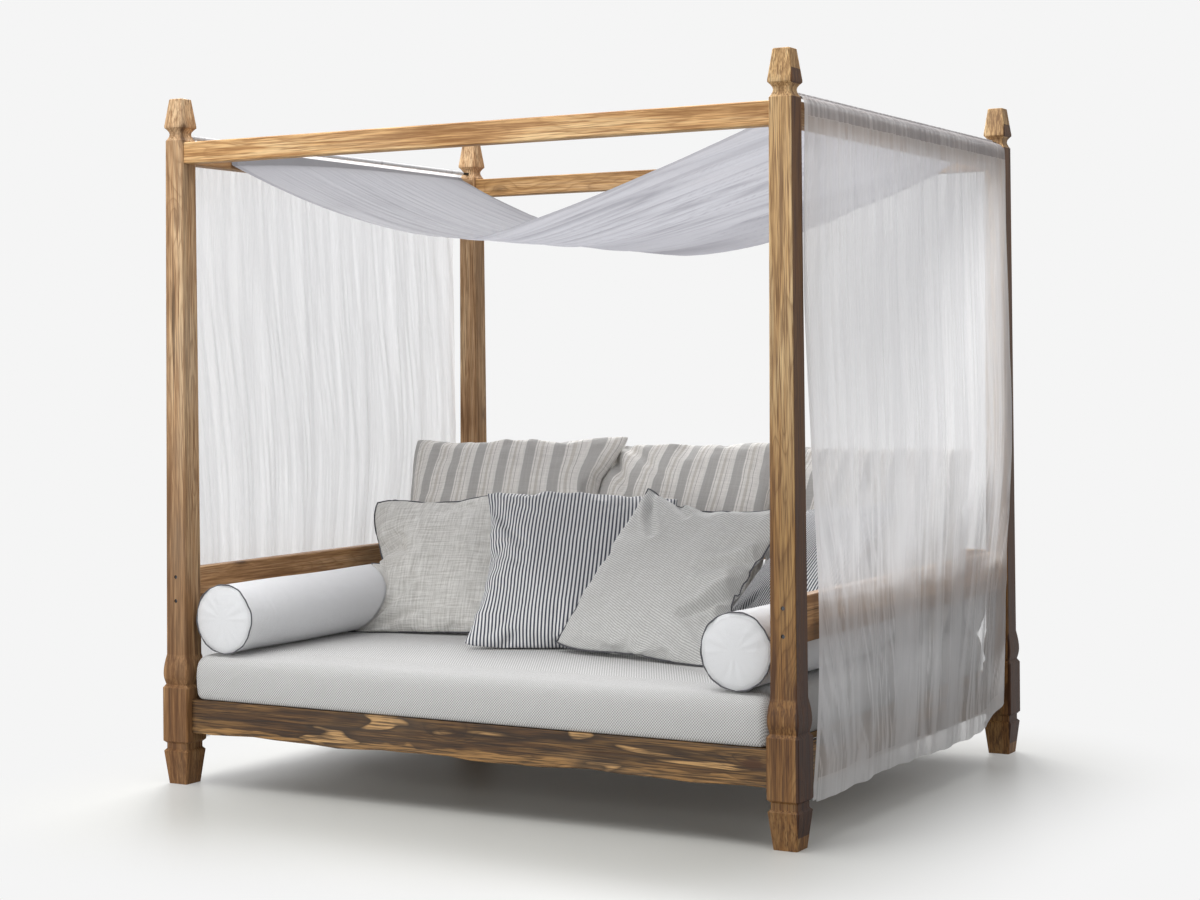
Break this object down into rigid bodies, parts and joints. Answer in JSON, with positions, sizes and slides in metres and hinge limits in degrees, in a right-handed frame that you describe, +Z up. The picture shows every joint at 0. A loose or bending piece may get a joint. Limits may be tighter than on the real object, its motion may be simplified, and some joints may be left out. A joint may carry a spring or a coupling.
{
  "type": "daybed with canopy",
  "caption": "Square-posted timber daybed with arm rails, a sagging cloth roof, side curtains, a thick mattress, bolsters, striped back cushions and loose pillows.",
  "frame": {"origin": "centre of the footprint, on the floor", "axes": "+X along the seat to the right seen from the front, +Y to the back, +Z up"},
  "size_m": [2.2596, 1.824, 2.2],
  "materials": {
    "teak": "oiled teak, fine straight grain with knots",
    "aged_teak": "weathered teak, darker, open grain",
    "deck_wood": "plain sawn timber",
    "dark_steel": "dark steel, dull",
    "curtain_cloth": "semi-sheer white cotton voile",
    "roof_cloth": "thin lilac-grey cotton cloth",
    "mattress_cloth": "light grey outdoor weave",
    "bolster_cloth": "pale grey canvas with dark piping",
    "striped_cloth": "cream canvas with grey stripes",
    "linen_cloth": "beige-grey linen with dark piping",
    "navy_stripe_cloth": "white cotton with narrow navy stripes",
    "grey_cloth": "grey twill with dark piping"
  },
  "bodies": {
    "frame": {"post_front_left": "teak", "post_front_right": "teak", "post_back_left": "teak", "post_back_right": "teak", "arm_rail_left": "teak", "arm_rail_right": "teak", "rest_rail_back": "teak", "top_rail_front": "teak", "top_rail_back": "teak", "top_rail_left": "teak", "top_rail_right": "teak", "lower_rail_front": "aged_teak", "lower_rail_back": "aged_teak", "lower_rail_left": "aged_teak", "lower_rail_right": "aged_teak", "ledger_front": "deck_wood", "ledger_back": "deck_wood", "deck_beam": "deck_wood", "slat_1": "deck_wood", "slat_2": "deck_wood", "slat_3": "deck_wood", "slat_4": "deck_wood", "slat_5": "deck_wood", "slat_6": "deck_wood", "slat_7": "deck_wood", "slat_8": "deck_wood", "slat_9": "deck_wood", "slat_10": "deck_wood", "slat_11": "deck_wood", "slat_12": "deck_wood", "arm_bolt_front_left_lower": "dark_steel", "arm_bolt_front_left_upper": "dark_steel", "arm_bolt_front_right_lower": "dark_steel", "arm_bolt_front_right_upper": "dark_steel", "arm_bolt_back_left_lower": "dark_steel", "arm_bolt_back_left_upper": "dark_steel", "arm_bolt_back_right_lower": "dark_steel", "arm_bolt_back_right_upper": "dark_steel", "curtain_rod_left": "dark_steel", "curtain_left": "curtain_cloth", "curtain_rod_right": "dark_steel", "curtain_right": "curtain_cloth", "roof_cloth": "roof_cloth"},
    "curtain_hem_left": {"curtain_hem_left": "curtain_cloth"},
    "curtain_hem_right": {"curtain_hem_right": "curtain_cloth"},
    "mattress": {"mattress": "mattress_cloth", "bolster_back": "bolster_cloth"},
    "bolster_left": {"bolster_left": "bolster_cloth"},
    "bolster_right": {"bolster_right": "bolster_cloth"},
    "back_cushion_left": {"back_cushion_left": "striped_cloth"},
    "back_cushion_middle": {"back_cushion_middle": "striped_cloth"},
    "back_cushion_right": {"back_cushion_right": "striped_cloth"},
    "pillow_linen": {"pillow_linen": "linen_cloth"},
    "pillow_navy_stripe": {"pillow_navy_stripe": "navy_stripe_cloth"},
    "pillow_grey": {"pillow_grey": "grey_cloth"},
    "pillow_fine_stripe": {"pillow_fine_stripe": "navy_stripe_cloth"}
  },
  "joints": [
    {"name": "curtain_right_draw", "type": "slide", "parent": "frame", "child": "curtain_hem_right", "axis": [0, 1, 0], "range_m": [0, 1.25], "deforming": ["curtain_right"]},
    {"name": "curtain_left_draw", "type": "slide", "parent": "frame", "child": "curtain_hem_left", "axis": [0, 1, 0], "range_m": [0, 1.25], "deforming": ["curtain_left"]},
    {"name": "mattress_lift", "type": "slide", "parent": "frame", "child": "mattress", "axis": [0, 0, 1], "range_m": [0, 0.25]},
    {"name": "bolster_left_slide", "type": "slide", "parent": "mattress", "child": "bolster_left", "axis": [0, -1, 0], "range_m": [0, 0.3]},
    {"name": "bolster_right_slide", "type": "slide", "parent": "mattress", "child": "bolster_right", "axis": [0, -1, 0], "range_m": [0, 0.3]},
    {"name": "back_cushion_left_lift", "type": "slide", "parent": "mattress", "child": "back_cushion_left", "axis": [0, 0.4586, 0.8886], "range_m": [0, 0.3]},
    {"name": "back_cushion_middle_lift", "type": "slide", "parent": "mattress", "child": "back_cushion_middle", "axis": [0, 0.4695, 0.8829], "range_m": [0, 0.3]},
    {"name": "back_cushion_right_lift", "type": "slide", "parent": "mattress", "child": "back_cushion_right", "axis": [0, 0.4695, 0.8829], "range_m": [0, 0.3]},
    {"name": "pillow_linen_lift", "type": "slide", "parent": "mattress", "child": "pillow_linen", "axis": [0, 0.6225, 0.7826], "range_m": [0, 0.3]},
    {"name": "pillow_navy_stripe_lift", "type": "slide", "parent": "mattress", "child": "pillow_navy_stripe", "axis": [-0.3177, 0.6372, 0.7022], "range_m": [0, 0.25]},
    {"name": "pillow_grey_lift", "type": "slide", "parent": "mattress", "child": "pillow_grey", "axis": [0.097, 0.6568, 0.7478], "range_m": [0, 0.3]},
    {"name": "pillow_fine_stripe_lift", "type": "slide", "parent": "mattress", "child": "pillow_fine_stripe", "axis": [0, 0, 1], "range_m": [0, 0.25]}
  ]
}
